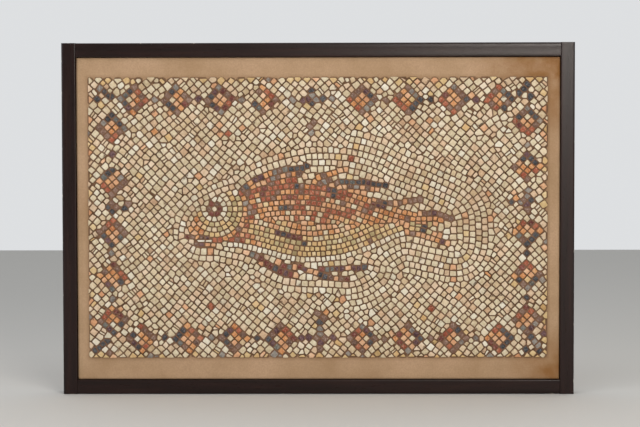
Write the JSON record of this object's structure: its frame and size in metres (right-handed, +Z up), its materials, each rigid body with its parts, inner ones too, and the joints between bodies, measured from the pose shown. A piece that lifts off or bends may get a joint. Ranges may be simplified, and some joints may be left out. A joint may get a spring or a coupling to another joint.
{
  "type": "framed mosaic panel",
  "caption": "Framed stone mosaic panel to hang on a wall: a fish swimming left in a cream field, inside a border of poised squares.",
  "frame": {"origin": "centre of the panel's back face, where it lies against the wall", "axes": "+Z up the picture, +X to the viewer's right, +Y into the wall; the face looks along -Y"},
  "size_m": [0.87, 0.042, 0.597],
  "materials": {
    "stained_wood": "satin",
    "sanded_mortar": "matte",
    "cream_limestone": "matte",
    "terracotta_stone": "matte",
    "orange_stone": "matte",
    "ochre_stone": "matte",
    "brown_marble": "matte",
    "dark_basalt": "matte"
  },
  "bodies": {
    "root": {"border_bud_bottom": "brown_marble", "border_bud_left": "brown_marble", "border_bud_right": "brown_marble", "border_bud_top": "brown_marble", "border_diamond_bottom_1": "terracotta_stone", "border_diamond_bottom_2": "terracotta_stone", "border_diamond_bottom_3": "terracotta_stone", "border_diamond_bottom_4": "terracotta_stone", "border_diamond_bottom_5": "terracotta_stone", "border_diamond_bottom_6": "terracotta_stone", "border_diamond_bottom_7": "terracotta_stone", "border_diamond_bottom_8": "terracotta_stone", "border_diamond_left_1": "terracotta_stone", "border_diamond_left_2": "terracotta_stone", "border_diamond_left_3": "terracotta_stone", "border_diamond_left_4": "terracotta_stone", "border_diamond_left_5": "terracotta_stone", "border_diamond_right_1": "terracotta_stone", "border_diamond_right_2": "terracotta_stone", "border_diamond_right_3": "terracotta_stone", "border_diamond_right_4": "terracotta_stone", "border_diamond_right_5": "terracotta_stone", "border_diamond_top_1": "terracotta_stone", "border_diamond_top_2": "terracotta_stone", "border_diamond_top_3": "terracotta_stone", "border_diamond_top_4": "terracotta_stone", "border_diamond_top_5": "terracotta_stone", "border_diamond_top_6": "terracotta_stone", "border_diamond_top_7": "terracotta_stone", "border_diamond_top_8": "terracotta_stone", "border_floret_bottom": "dark_basalt", "border_floret_left": "dark_basalt", "border_floret_right": "dark_basalt", "border_floret_top": "dark_basalt", "corner_stones_bottom_left": "dark_basalt", "corner_stones_bottom_right": "dark_basalt", "corner_stones_top_left": "dark_basalt", "corner_stones_top_right": "dark_basalt", "field_courses": "cream_limestone", "fish_back": "terracotta_stone", "fish_belly": "ochre_stone", "fish_course_inner": "cream_limestone", "fish_course_outer": "cream_limestone", "fish_eye": "cream_limestone", "fish_front_belly_fin": "brown_marble", "fish_front_dorsal_fin": "brown_marble", "fish_head": "orange_stone", "fish_middle_belly_fin": "dark_basalt", "fish_middle_dorsal_fin": "orange_stone", "fish_rear_belly_fin": "dark_basalt", "fish_rear_dorsal_fin": "dark_basalt", "fish_tail_fin": "brown_marble", "fish_tail_spike": "brown_marble", "frame_bottom_rail": "stained_wood", "frame_left_stile": "stained_wood", "frame_right_stile": "stained_wood", "frame_top_rail": "stained_wood", "mortar_bed": "sanded_mortar"}
  },
  "joints": []
}
